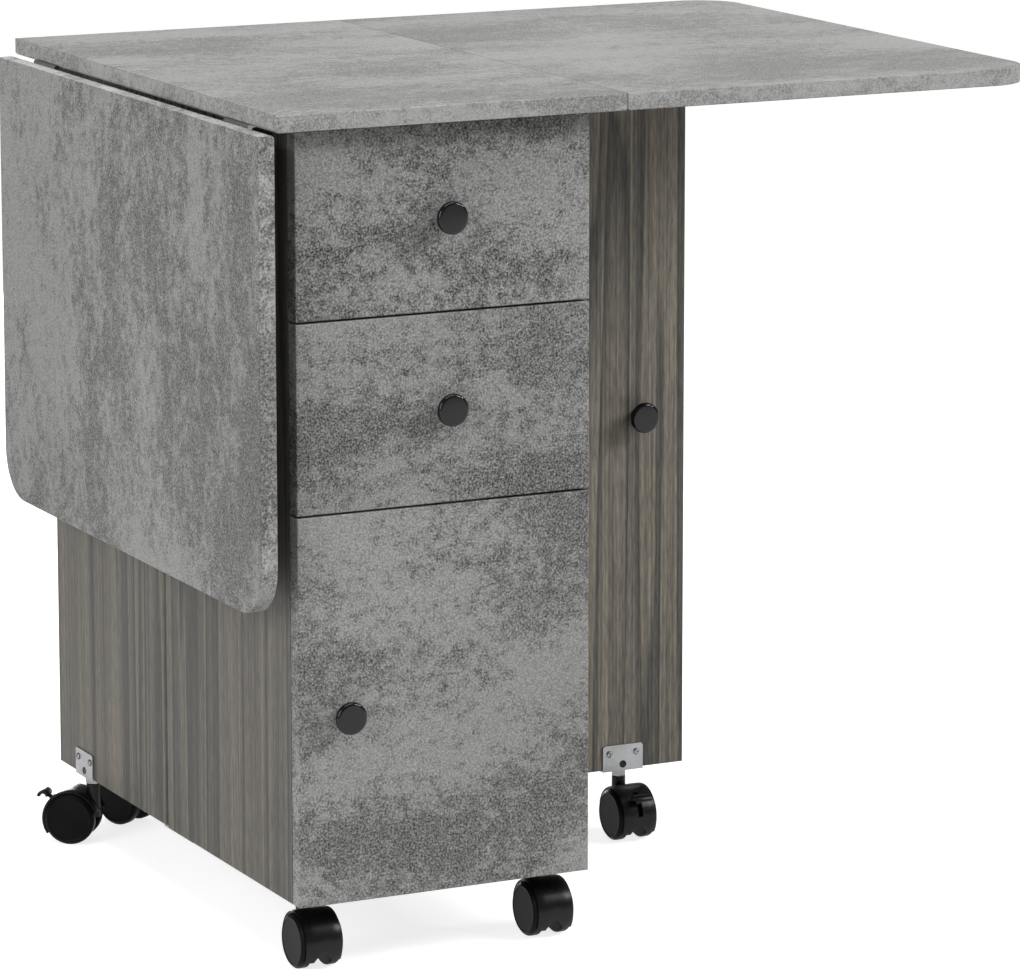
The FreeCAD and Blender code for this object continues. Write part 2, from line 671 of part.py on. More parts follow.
def lever_room():
    # the slot that the lever's arm swings in, from its rest to its pressed place
    half = slot_half()
    room = LEVER_HUB_RADIUS + LEVER_SIDE_PLAY
    sweep = math.degrees(2 * room / LEVER_PIN_REACH)
    low = LEVER_ANGLE - LEVER_TRAVEL - sweep
    high = LEVER_ANGLE + sweep
    deep = LEVER_PIN_REACH - room
    tall = (HOOD_OUTER + HOOD_WALL) / math.cos(math.radians(high - low) / 2)
    corners = [on_circle(deep, low, -half), on_circle(tall, low, -half),
               on_circle(tall, high, -half), on_circle(deep, high, -half)]
    return polygon_face(corners).extrude(ALONG_Y * (2 * half))


def caster_wheelset():
    # two wheels with a slanted shoulder, one on each end of the axle that turns in the hood's web
    rim = WHEEL_OUTER_FACE - WHEEL_SHOULDER
    profile = [(WHEEL_RADIUS, WHEEL_INNER_FACE), (WHEEL_RADIUS, rim),
               (WHEEL_RADIUS - WHEEL_SHOULDER, WHEEL_OUTER_FACE)]
    wheel = moved(turned(turned_form(profile, WHEEL_SIDES), V(0, 0, 0), V(1, 0, 0), -90), axle_point())
    other = wheel.mirror(V(0, 0, 0), ALONG_Y)
    return [wheel, other, rod(AXLE_RADIUS, axle_point(-WHEEL_INNER_FACE), axle_point(WHEEL_INNER_FACE))]


def brake_lever():
    # an arm through the hood's slot that ends in a hooked foot paddle, drawn in the XZ plane
    angle = math.radians(LEVER_ANGLE)
    out = V(math.cos(angle), 0, math.sin(angle))
    across = V(-math.sin(angle), 0, math.cos(angle))
    half = LEVER_THICKNESS / 2
    half_arm = LEVER_ARM_WIDTH / 2
    hub = turned_form([(LEVER_HUB_RADIUS, -half_arm), (LEVER_HUB_RADIUS, half_arm)], LEVER_HUB_SIDES)
    hub = moved(turned(hub, V(0, 0, 0), V(1, 0, 0), 90), lever_pin(0))
    root = lever_pin(-half_arm)
    knee = root + out * (LEVER_RISE + HOOD_OUTER - LEVER_PIN_REACH)
    side = across * half
    arm = polygon_face([root + side, knee + side, knee - side, root - side])
    arm = arm.extrude(ALONG_Y * LEVER_ARM_WIDTH)
    # the paddle hooks over outwards from the end of the arm in straight flats
    centre = V(knee.x + LEVER_HOOK_RADIUS, -LEVER_PADDLE_WIDTH / 2, knee.z)
    turns = [math.pi * (1 - i / LEVER_HOOK_FLATS) for i in range(LEVER_HOOK_FLATS + 1)]
    rim = [centre + V(math.cos(t), 0, math.sin(t)) * (LEVER_HOOK_RADIUS + half) for t in turns]
    rim += [centre + V(math.cos(t), 0, math.sin(t)) * (LEVER_HOOK_RADIUS - half) for t in reversed(turns)]
    paddle = polygon_face(rim).extrude(ALONG_Y * LEVER_PADDLE_WIDTH)
    lever = hub.fuse([arm, paddle]).removeSplitter()
    bore = LEVER_PIN_RADIUS + RUNNING_CLEARANCE
    return lever.cut(rod(bore, lever_pin(-half_arm), lever_pin(half_arm)))


def build_casters():
    open_gate = opened(Part.Vertex(V(PIVOT_X, BRACKET_Y, 0))).Point
    (fl, fr), (rl, rr) = front_caster_places(), rear_caster_places()
    places = [
        ("front_left", fl, FRONT_CASTER_HEADING, False),
        ("front_right", fr, FRONT_CASTER_HEADING, False),
        ("rear_left", rl, REAR_LEFT_HEADING, False),
        ("rear_right", rr, REAR_RIGHT_HEADING, False),
        ("gate_left", (-PIVOT_X, BRACKET_Y), GATE_LEFT_HEADING, True),
        ("gate_right", (open_gate.x, open_gate.y), GATE_RIGHT_HEADING, True),
    ]
    wheelset = caster_wheelset()
    lever = brake_lever()
    hoods = {braked: caster_hood(braked) for braked in (False, True)}
    for name, (x, y), heading, braked in places:
        def placed(shape):
            return moved(turned(shape, V(0, 0, 0), UP, heading), V(x, y, 0))
        add("caster_" + name + "_hood", placed(hoods[braked]))
        add("caster_" + name + "_wheels", *[placed(solid) for solid in wheelset])
        if braked:
            add("caster_" + name + "_brake", placed(lever))
    add("caster_stems", *[stem(x, y, CABINET_BOTTOM) for x, y in (fl, fr, rl, rr)])


# Build everything and write one file per node

build_top()
build_carcass()
build_drawers()
build_door()
build_gates()
build_casters()

os.makedirs("parts", exist_ok=True)
for node, solids in NODES.items():
    shape = solids[0] if len(solids) == 1 else Part.makeCompound(solids)
    shape.exportStep(os.path.join("parts", node + ".step"))
print(len(NODES), "nodes,", sum(len(solids) for solids in NODES.values()), "solids")
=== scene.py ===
# %% [markdown]
# A folding dining table, finished in Blender
# The frame that is loaded here holds every board, hinge, runner and caster of the table as a solid in its
# real place, in metres. The lesson keeps the boards as they are, builds the turned and moulded pieces over
# again with edit meshes, adds the small fixings, and gives each piece a finish that is made of nodes alone.

# %% Load the frame
import json
import math

import bmesh
import bpy
from mathutils import Matrix, Vector


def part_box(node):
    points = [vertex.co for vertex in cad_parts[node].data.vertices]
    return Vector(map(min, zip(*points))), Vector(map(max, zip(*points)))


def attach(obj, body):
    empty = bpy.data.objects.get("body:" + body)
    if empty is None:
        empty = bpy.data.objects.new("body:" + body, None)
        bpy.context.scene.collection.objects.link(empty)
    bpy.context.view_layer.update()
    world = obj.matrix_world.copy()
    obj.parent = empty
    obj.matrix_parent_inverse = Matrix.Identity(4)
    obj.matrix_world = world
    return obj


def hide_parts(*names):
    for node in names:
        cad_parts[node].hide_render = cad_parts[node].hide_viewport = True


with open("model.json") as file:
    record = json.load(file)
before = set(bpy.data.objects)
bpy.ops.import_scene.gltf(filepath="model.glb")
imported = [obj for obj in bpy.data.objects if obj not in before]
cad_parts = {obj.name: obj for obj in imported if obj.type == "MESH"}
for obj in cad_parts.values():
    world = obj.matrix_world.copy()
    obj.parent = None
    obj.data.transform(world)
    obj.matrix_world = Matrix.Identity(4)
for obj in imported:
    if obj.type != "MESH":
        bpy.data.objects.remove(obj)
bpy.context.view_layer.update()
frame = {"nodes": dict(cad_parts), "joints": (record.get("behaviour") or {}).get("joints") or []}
solids = frame["nodes"]
joints = {joint["name"]: joint for joint in frame["joints"]}
scene = bpy.context.scene
MM = 0.001
X, Y, Z = range(3)

# %% [markdown]
# Camera
# A long lens far away keeps the boards nearly parallel, as they are in a catalogue picture. The place and
# the angle were worked out from the corners of the boards, and the shift stands for a picture that was
# cropped off centre.

# %% Camera
camera_data = bpy.data.cameras.new("camera")
camera_data.lens = 188.425
camera_data.sensor_width = 36.0
camera_data.sensor_fit = "HORIZONTAL"
camera_data.shift_x = -0.0196
camera_data.shift_y = -0.1319
camera = bpy.data.objects.new("camera", camera_data)
camera.location = (-1.91782, -4.31255, 1.34061)
camera.rotation_euler = (math.pi / 2 - 0.17801, 0.0, -0.46009)
scene.collection.objects.link(camera)
scene.camera = camera
print("camera stands", round(camera.location.length, 2), "m from the origin")

# %% [markdown]
# Patterns from noise
# Finishes are node trees, and most of them repeat the same few steps: take the object's own coordinates,
# stretch them, read a noise there and bring it into a useful range. Short functions for these steps keep
# each finish readable as a recipe.

# %% Patterns from noise
def new_finish(name, gloss=0.2, metallic=0.0):
    material = bpy.data.materials.new(name)
    material.use_nodes = True
    tree = material.node_tree
    shader = tree.nodes["Principled BSDF"]
    shader.inputs["Specular IOR Level"].default_value = gloss
    shader.inputs["Metallic"].default_value = metallic
    return material, tree, shader


def placed(tree, offset=(0, 0, 0), scale=(1, 1, 1)):
    coordinates = tree.nodes.new("ShaderNodeTexCoord")
    mapping = tree.nodes.new("ShaderNodeMapping")
    mapping.inputs["Location"].default_value = offset
    mapping.inputs["Scale"].default_value = scale
    tree.links.new(coordinates.outputs["Object"], mapping.inputs["Vector"])
    return mapping.outputs["Vector"]


def noise(tree, vector, scale, detail=2.0, rough=0.5):
    node = tree.nodes.new("ShaderNodeTexNoise")
    node.inputs["Scale"].default_value = scale
    node.inputs["Detail"].default_value = detail
    node.inputs["Roughness"].default_value = rough
    tree.links.new(vector, node.inputs["Vector"])
    return node.outputs["Fac"]


def mapped(tree, value, start, end, low, high, eased=False):
    node = tree.nodes.new("ShaderNodeMapRange")
    if eased:
        node.interpolation_type = "SMOOTHSTEP"
    node.inputs["From Min"].default_value = start
    node.inputs["From Max"].default_value = end
    node.inputs["To Min"].default_value = low
    node.inputs["To Max"].default_value = high
    tree.links.new(value, node.inputs["Value"])
    return node.outputs["Result"]


def ranged(tree, value, low, high, spread=0.2):
    # noise gathers about one half, so the useful part of it lies within the spread
    return mapped(tree, value, 0.5 - spread, 0.5 + spread, low, high)


print("helpers for coordinates, noise and ranges are ready")

# %% [markdown]
# From patterns to a surface
# The second half of a recipe combines patterns with a little arithmetic, turns the result into a colour and
# lets one pattern raise the surface. Each of these is one node, so each is one short function.

# %% From patterns to a surface
def calculated(tree, operation, *values):
    # each value is another node's output or a plain number
    node = tree.nodes.new("ShaderNodeMath")
    node.operation = operation
    for socket, value in zip(node.inputs, values):
        if isinstance(value, bpy.types.NodeSocket):
            tree.links.new(value, socket)
        else:
            socket.default_value = value
    return node.outputs["Value"]


def product(tree, first, *others):
    for other in others:
        first = calculated(tree, "MULTIPLY", first, other)
    return first


def dimmed(tree, colour, value):
    node = tree.nodes.new("ShaderNodeVectorMath")
    node.operation = "SCALE"
    tree.links.new(colour, node.inputs["Vector"])
    tree.links.new(value, node.inputs["Scale"])
    return node.outputs["Vector"]


def ramp(tree, value, stops):
    node = tree.nodes.new("ShaderNodeValToRGB")
    elements = node.color_ramp.elements
    while len(elements) < len(stops):
        elements.new(0.5)
    for element, (position, colour) in zip(elements, stops):
        element.position = position
        element.color = (*colour, 1.0)
    tree.links.new(value, node.inputs["Fac"])
    return node.outputs["Color"]


def bumped(tree, shader, height, strength, distance):
    node = tree.nodes.new("ShaderNodeBump")
    node.inputs["Strength"].default_value = strength
    node.inputs["Distance"].default_value = distance
    tree.links.new(height, node.inputs["Height"])
    tree.links.new(node.outputs["Normal"], shader.inputs["Normal"])


print("helpers for arithmetic, colour and relief are ready")

# %% [markdown]
# Concrete print
# The top, the leaves and the fronts are boards with a printed concrete paper. Its stains aren't solid
# patches: the paper gets darker there and its fine grain gets much stronger. So a slow noise for the clouds,
# a fine one for their ragged edges and a stretched one for thin streaks are added up to tell how stained a
# place is, and that one value lowers the ground tone and raises the swing of the grain. The grain is squared
# before it is applied, because light and dark specks then look equally strong. The cut edges carry a paler
# band, which is found by how far a point lies from the middle of the board's thickness.

# %% Concrete print
GROUND = 0.3
STAIN_DEPTH = 0.16
CALM_GRAIN = 0.19
STAINED_GRAIN = 0.56
GRAIN_MIDDLE = 0.985
GRAINS_PER_METRE = 560.0
WASH_PER_METRE = 4.0
PAPER = (1.0, 0.998, 0.975)
BAND_INSET = 0.6 * MM
BAND_FADED = 0.3 * MM


def edge_band(tree, node_name, axis, lift):
    low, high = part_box(node_name)
    half = (high[axis] - low[axis]) / 2
    split = tree.nodes.new("ShaderNodeSeparateXYZ")
    tree.links.new(placed(tree), split.inputs["Vector"])
    offset = calculated(tree, "SUBTRACT", split.outputs[axis], (low[axis] + high[axis]) / 2)
    depth = calculated(tree, "ABSOLUTE", offset)
    return mapped(tree, depth, half - BAND_INSET, half - BAND_FADED, lift, 1.0)


def stains(tree, offset, cloud_scale):
    # the finer patterns are stretched the same way as the clouds: the clumps less, the streaks more
    clump_scale = [50.0 + 5.0 * value for value in cloud_scale]
    streak_scale = [1.3 * value ** 2 for value in cloud_scale]
    clouds = noise(tree, placed(tree, offset, cloud_scale), 1.0, detail=5.0, rough=0.62)
    clumps = noise(tree, placed(tree, offset, clump_scale), 1.0, detail=8.0, rough=0.74)
    streaks = noise(tree, placed(tree, offset, streak_scale), 1.0, detail=5.0, rough=0.7)
    broad = ranged(tree, clouds, 0.0, 0.85, spread=0.16)
    ragged = ranged(tree, clumps, 0.0, 0.8, spread=0.16)
    layered = mapped(tree, streaks, 0.55, 0.72, 0.0, 0.34)
    marks = calculated(tree, "ADD", calculated(tree, "ADD", broad, ragged), layered)
    return mapped(tree, marks, 0.48, 1.24, 0.0, 1.0, eased=True)


def concrete(node_name, axis, offset, cloud_scale, tone, wear, grit, lift=1.05):
    # the axis runs through the board; tone lightens it, wear deepens its stains, grit its grain, and lift
    # is how much paler its edges are
    material, tree, shader = new_finish("concrete_" + node_name)
    stain = stains(tree, offset, cloud_scale)
    sheet = placed(tree, offset)
    grains = noise(tree, sheet, GRAINS_PER_METRE, detail=2.0, rough=0.6)
    wash = noise(tree, sheet, WASH_PER_METRE, detail=3.0, rough=0.5)
    ground = mapped(tree, stain, 0.0, 1.0, GROUND * tone, (GROUND - STAIN_DEPTH * wear) * tone)
    swing = mapped(tree, stain, 0.0, 1.0, CALM_GRAIN * grit, STAINED_GRAIN * grit)
    specks = ranged(tree, grains, 1.0, -1.0)
    root = calculated(tree, "MULTIPLY_ADD", specks, swing, GRAIN_MIDDLE)
    grain = product(tree, root, root)
    edges = edge_band(tree, node_name, axis, lift)
    grey = product(tree, ground, grain, edges, ranged(tree, wash, 0.93, 1.07))
    colour = ramp(tree, grey, [(0.0, (0.0, 0.0, 0.0)), (1.0, PAPER)])
    tree.links.new(colour, shader.inputs["Base Color"])
    tree.links.new(ranged(tree, grains, 0.44, 0.58), shader.inputs["Roughness"])
    bumped(tree, shader, grains, strength=0.06, distance=0.3 * MM)
    return material


print("recipe for the concrete print is ready")

# %% [markdown]
# Concrete boards
# Each board was cut from another part of the sheet, so each has its own offset, and the stains follow its
# length. The offsets were chosen so that the large dark and pale areas lie roughly as they do on the real
# boards.

# %% Concrete boards
LEVEL_CLOUDS = (5.0, 5.0, 8.5)
UPRIGHT_CLOUDS = (8.0, 8.0, 4.5)
TOP_CLOUDS = (5.0, 12.0, 12.0)
TOP_EDGE = 1.4
concrete_recipes = {
    "fixed_top": (Z, (11.5, 27.77, 36.39), TOP_CLOUDS, 0.95, 0.6, 0.45, TOP_EDGE),
    "leaf_right_board": (Z, (32.59, 11.23, 30.37), TOP_CLOUDS, 0.94, 0.58, 0.45, TOP_EDGE),
    "leaf_left_board": (X, (6.96, 23.66, 38.85), UPRIGHT_CLOUDS, 1.04, 0.98, 0.8, TOP_EDGE),
    "upper_drawer_front": (Y, (9.17, 7.15, 10.23), LEVEL_CLOUDS, 0.97, 1.1, 1.18),
    "lower_drawer_front": (Y, (31.38, 30.19, 15.57), LEVEL_CLOUDS, 0.97, 0.98, 1.1),
    "door_panel": (Y, (9.46, 28.09, 26.27), LEVEL_CLOUDS, 1.07, 0.98, 0.97),
}
concrete_boards = {name: concrete(name, *recipe) for name, recipe in concrete_recipes.items()}
print("concrete boards:", sorted(concrete_boards))

# %% [markdown]
# Grey wood print
# The cabinet and the gates wear a grey wood paper with upright grain. Growth rings are slow on one side and
# sharp on the other, which is the shape of a saw tooth: a smooth noise, squeezed along the grain, is
# multiplied and only its fraction is kept. Where the noise is squeezed less, the same step draws the arches
# of a wide board. A ramp turns the rings into taupe and grey, and two finer noises add lines and pores.

# %% Grey wood print
RINGS = 7.0
TAUPE = (0.235, 0.214, 0.18)
MIDDLE_TONE = (0.162, 0.151, 0.132)
GREY = (0.082, 0.082, 0.077)


def wood(node_name, offset, brown=0.0, tone=1.0, arch=0.4, level=False):
    # brown warms the print, tone lightens or darkens it, on some boards as painted light and shade, and a
    # higher arch bends the rings more
    material, tree, shader = new_finish("wood_" + node_name)

    def squeezed(across, along):
        return placed(tree, offset, (along, across, across) if level else (across, across, along))

    def tinted(red, green, blue):
        return (red * tone, green * tone * (1 - 0.03 * brown), blue * tone * (1 - 0.1 * brown))

    field = noise(tree, squeezed(20.0, arch), 1.0, detail=2.0, rough=0.5)
    rings = calculated(tree, "FRACT", calculated(tree, "MULTIPLY", field, RINGS))
    lines = noise(tree, squeezed(420.0, 3.0), 1.0, detail=3.0, rough=0.6)
    pores = noise(tree, squeezed(560.0, 60.0), 1.0, detail=2.0, rough=0.6)
    taupe = tinted(*TAUPE)
    hue = ramp(tree, rings, [(0.0, taupe), (0.5, tinted(*MIDDLE_TONE)), (0.86, tinted(*GREY)), (1.0, taupe)])
    grain = product(tree, ranged(tree, lines, 0.68, 1.3, spread=0.16), ranged(tree, pores, 0.7, 1.24))
    tree.links.new(dimmed(tree, hue, grain), shader.inputs["Base Color"])
    tree.links.new(ranged(tree, lines, 0.46, 0.58), shader.inputs["Roughness"])
    bumped(tree, shader, lines, strength=0.06, distance=0.3 * MM)
    return material


wood_recipes = {
    # painted shade: gate_left_panel gets a lower tone, so the same wood paper is darker on the side facing
    # left
    "gate_left_panel": {"offset": (0.3, 0.1, 0.0), "brown": 0.1, "tone": 0.82},
    # painted light: gate_right_panel gets a higher tone that lifts the gate standing in the shade of the leaf
    "gate_right_panel": {"offset": (1.7, 0.9, 0.4), "brown": 0.4, "tone": 1.13, "arch": 0.5},
    # painted shade: front_side_left gets the same lower tone as the left gate, darker on the side facing left
    "front_side_left": {"offset": (2.6, 1.3, 0.7), "brown": 0.1, "tone": 0.77},
    "front_side_right": {"offset": (3.9, 1.8, 1.2)},
    "rear_side_left": {"offset": (5.1, 2.2, 1.6)},
    "rear_side_right": {"offset": (6.4, 2.7, 2.1)},
    "mid_partition": {"offset": (7.2, 3.1, 2.5)},
    "front_floor": {"offset": (8.5, 3.6, 3.0), "level": True},
    "rear_floor": {"offset": (9.3, 4.2, 3.4), "level": True},
    "drawer_shelf": {"offset": (10.8, 4.7, 3.9), "level": True},
    "rear_shelves": {"offset": (11.6, 5.3, 4.3), "level": True},
}
wood_boards = {name: wood(name, **recipe) for name, recipe in wood_recipes.items()}
print("wood boards:", len(wood_boards))

# %% [markdown]
# Metal, plastic and foil
# Zinc plate is bright metal with a faint blotchy grain, so its roughness wanders. The knobs and the casters
# are black, but black paint and moulded plastic are never quite even: a fine noise in roughness and height
# breaks the highlights up. The drawer boxes are wrapped in a pale grey foil.

# %% Metal, plastic and foil
def fitting(name, dark, light, rough, metallic=0.0, grain=900.0, height=0.04, gloss=0.5):
    material, tree, shader = new_finish(name, gloss, metallic)
    spot = placed(tree, (0.4, 0.8, 0.2))
    fine = noise(tree, spot, grain, 2.0, 0.6)
    broad = noise(tree, spot, grain / 22.0, 4.0, 0.6)
    tone = ramp(tree, ranged(tree, broad, 0.0, 1.0), [(0.0, dark), (1.0, light)])
    tree.links.new(tone, shader.inputs["Base Color"])
    tree.links.new(ranged(tree, fine, rough[0], rough[1]), shader.inputs["Roughness"])
    bumped(tree, shader, fine, height, 0.2 * MM)
    return material


BLACK = (0.003, 0.003, 0.003)
SOFT_BLACK = (0.006, 0.006, 0.006)
zinc = fitting("zinc_plate", (0.24, 0.243, 0.246), (0.33, 0.333, 0.337), (0.26, 0.42), 1.0, 700.0)
knob_black = fitting("knob_black", BLACK, SOFT_BLACK, (0.07, 0.11), height=0.01, gloss=0.3)
moulded_black = fitting("moulded_black", BLACK, SOFT_BLACK, (0.25, 0.36), grain=1300.0, gloss=0.22)
wheel_black = fitting("wheel_black", BLACK, SOFT_BLACK, (0.32, 0.44), grain=1300.0, gloss=0.07)
nylon = fitting("nylon", (0.66, 0.65, 0.62), (0.76, 0.75, 0.72), (0.4, 0.5))
foil = fitting("drawer_foil", (0.46, 0.46, 0.45), (0.54, 0.54, 0.53), (0.42, 0.56), grain=500.0)
felt = fitting("felt", (0.1, 0.1, 0.1), (0.2, 0.2, 0.195), (0.85, 0.98), grain=2400.0, height=0.4)

print("fittings: zinc, three blacks, nylon, foil and felt")

# %% [markdown]
# A finish for every solid
# The names of the solids tell what they are made of, so a few words are enough to give each one its finish.
# A solid that no rule covers stops the script, which is better than a grey piece that nobody notices.

# %% A finish for every solid
ZINC_WORDS = ("hinge", "rails", "runners", "bracket", "pivot", "stems")
BLACK_WORDS = ("hood", "wheels", "brake")


def finish_for(name):
    if name in concrete_boards:
        return concrete_boards[name]
    if name in wood_boards:
        return wood_boards[name]
    if name.endswith("_knob"):
        return knob_black
    if name.endswith("_glide"):
        return nylon
    if any(word in name for word in ZINC_WORDS):
        return zinc
    if any(word in name for word in BLACK_WORDS):
        return moulded_black
    if "_drawer_" in name:
        return foil
    raise ValueError("no finish for " + name)


for name, solid in solids.items():
    chosen = finish_for(name)
    if not solid.material_slots:
        solid.data.materials.append(chosen)
    for slot in solid.material_slots:
        slot.material = chosen
print("every one of", len(solids), "solids has a finish")

# %% [markdown]
# Making a piece
# Each new piece starts as an edit mesh in its own simple place, is moved to where it belongs, and then
# becomes an object at the origin that rides on one body of the frame. Faces are shaded smooth except over
# edges sharper than about thirty degrees, which keeps flat faces flat.

# %% Making a piece
def finished(name, bm, material, body, place=None, sharp=32.0):
    if place is not None:
        bmesh.ops.transform(bm, matrix=place, verts=bm.verts)
    bmesh.ops.recalc_face_normals(bm, faces=bm.faces)
    mesh = bpy.data.meshes.new(name)
    bm.to_mesh(mesh)
    bm.free()
    mesh.shade_smooth()
    mesh.set_sharp_from_angle(angle=math.radians(sharp))
    mesh.materials.append(material)
    piece = bpy.data.objects.new(name, mesh)
    scene.collection.objects.link(piece)
    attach(piece, body)
    return piece


def rounded(corners, steps=5):
    # corners are (radius, height, rounding); each rounded corner becomes a small arc
    points = []
    for index, (radius, height, soft) in enumerate(corners):
        here = Vector((radius, height))
        if soft == 0:
            points.append(here)
            continue
        to_last = (Vector(corners[index - 1][:2]) - here).normalized()
        to_next = (Vector(corners[index + 1][:2]) - here).normalized()
        half = to_last.angle(to_next) / 2
        centre = here + (to_last + to_next).normalized() * soft / math.sin(half)
        start = here + to_last * soft / math.tan(half) - centre
        end = here + to_next * soft / math.tan(half) - centre
        for step in range(steps + 1):
            points.append(centre + start.lerp(end, step / steps).normalized() * soft)
    return points


def spun(bm, profile, steps, closed=False):
    # turns a profile of (radius, height) in millimetres once about Z
    points = [bm.verts.new((p[0] * MM, 0.0, p[1] * MM)) for p in profile]
    pairs = list(zip(points, points[1:]))
    if closed:
        pairs.append((points[-1], points[0]))
    edges = [bm.edges.new(pair) for pair in pairs]
    bmesh.ops.spin(bm, geom=points + edges, cent=(0, 0, 0), axis=(0, 0, 1), dvec=(0, 0, 0),
                   angle=2 * math.pi, steps=steps, use_merge=True, use_duplicate=False)
    bmesh.ops.remove_doubles(bm, verts=bm.verts, dist=1e-6)


def facing(out, seat):
    # takes Z to the outward direction and the origin to the seat
    turn = Vector((0, 0, 1)).rotation_difference(Vector(out))
    return Matrix.Translation(seat) @ turn.to_matrix().to_4x4()


print("helpers for turned profiles and finished pieces are ready")

# %% [markdown]
# Knobs
# A knob of this kind is turned from one piece: a straight neck flares out to a flat, round face. Spinning a
# profile about its axis is just what a lathe does, and the small arcs at the rim are what catches the
# light, so they get the most points.

# %% Knobs
KNOB_HEIGHT = 20.0
KNOB_RADIUS = 14.3
KNOB_PROFILE = rounded([
    (0.0, 0.0, 0), (6.0, 0.0, 0), (6.0, 7.75, 3.0), (KNOB_RADIUS, 15.5, 1.0), (KNOB_RADIUS, KNOB_HEIGHT, 2.9),
    (0.0, KNOB_HEIGHT, 0),
])


def middle(node):
    low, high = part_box(node)
    return (low + high) / 2


FRONT = Vector((0, -1, 0))
BACK = Vector((0, 1, 0))
LEFT = Vector((-1, 0, 0))
DOWN = Vector((0, 0, -1))
knob_faces = dict.fromkeys(("upper_drawer", "lower_drawer", "door", "gate_right"), FRONT)
knob_faces["gate_left"] = LEFT
for owner, out in knob_faces.items():
    node = owner + "_knob"
    seat = middle(node) - out * KNOB_HEIGHT / 2 * MM
    bm = bmesh.new()
    spun(bm, KNOB_PROFILE, 48)
    piece = finished(owner + "_turned_knob", bm, knob_black, owner, facing(out, seat))
    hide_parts(node)
    print(piece.name, len(piece.data.polygons), "faces at", [round(v, 4) for v in seat])

# %% [markdown]
# Caster places
# Every caster hangs from a stem, and its axle trails a little behind that stem. The two joints of a caster
# give both points, so the direction it faces can be read from them and each piece can be built once, about
# the stem, with the axle out along X.

# %% Caster places
CASTERS = ("front_left", "front_right", "rear_left", "rear_right", "gate_left", "gate_right")
BRAKED = ("gate_left", "gate_right")
WHEEL = 24.0


def caster_place(name):
    stem = Vector(joints[name + "_caster_swivel"]["pos_m"])
    axle = Vector(joints[name + "_caster_roll"]["pos_m"])
    heading = math.atan2(axle.y - stem.y, axle.x - stem.x)
    trail = (axle - stem).to_2d().length
    return Matrix.Translation((stem.x, stem.y, 0)) @ Matrix.Rotation(heading, 4, "Z"), trail


ON_AXLE = Matrix.Rotation(-math.pi / 2, 4, "X")
TRAIL = caster_place("front_left")[1]
TO_AXLE = Matrix.Translation((TRAIL, 0, WHEEL * MM))
print("the axle trails", round(TRAIL / MM, 2), "mm behind the stem")

# %% [markdown]
# Twin wheels
# Furniture casters have two moulded wheels on one short axle. The profile of a wheel has a soft shoulder
# and a face that is let in a little inside a narrow rim. The second wheel is a mirror image of the first.

# %% Twin wheels
WHEEL_PROFILE = rounded([
    (0.0, 8.8, 0), (22.6, 8.8, 0.8), (WHEEL, 10.2, 0.9), (WHEEL, 17.4, 3.2),
    (20.9, 19.8, 1.2), (20.0, 19.8, 0.5), (19.3, 19.45, 0.8), (0.0, 19.6, 0),
])
AXLE_RADIUS = 2.0
AXLE_HALF = 8.9


def rod(radius, half):
    return [(0.0, -half), (radius, -half), (radius, half), (0.0, half)]


for name in CASTERS:
    bm = bmesh.new()
    spun(bm, WHEEL_PROFILE, 56)
    bmesh.ops.mirror(bm, geom=bm.verts[:] + bm.edges[:] + bm.faces[:], axis="Z", merge_dist=-1.0)
    spun(bm, rod(AXLE_RADIUS, AXLE_HALF), 20)
    place = caster_place(name)[0] @ TO_AXLE @ ON_AXLE
    roller = "caster_" + name + "_roller"
    piece = finished(name + "_twin_wheels", bm, wheel_black, roller, place)
    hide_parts("caster_" + name + "_wheels")
print("twin wheels:", len(piece.data.polygons), "faces each")

# %% [markdown]
# Hood shells
# The hood is a thin curved shell over both wheels, a web between them that the axle runs in, and a neck for
# the stem. The shell starts as a short line across the wheels that is spun about the axle, so it stays a
# clean strip of quads. The middle of its lower edge is then drawn up into a notch that shows the gap
# between the wheels, and a solidify step gives it its wall. Where a brake lever comes through, a few faces
# in the middle are left out. Angles are in degrees about the axle, from level at the side of the axle that
# is away from the stem.

# %% Hood shells
LIP = -34.0
NOTCH = -13.0
NOTCH_REACH = 24.0
NOTCH_HALF = 3.0 * MM
END = 166.0
SHELL_RADIUS = 27.0
SHELL_WALL = 1.9 * MM
SHELL_STEPS = 50
HALF_SHELL = [(2.5, SHELL_RADIUS), (8.6, SHELL_RADIUS), (15.2, 26.8), (17.0, 26.1)]
SHELL = [(-y, radius) for y, radius in reversed(HALF_SHELL)] + HALF_SHELL
SLOT_FROM = 4.0
SLOT_TO = 57.0
SLOT_HALF = 2.0 * MM


def arc_point(radius, y, degrees):
    turn = math.radians(degrees)
    return Vector((radius * math.cos(turn), y, radius * math.sin(turn))) * MM


def angle_at(point):
    return math.degrees(math.atan2(point.z, point.x))


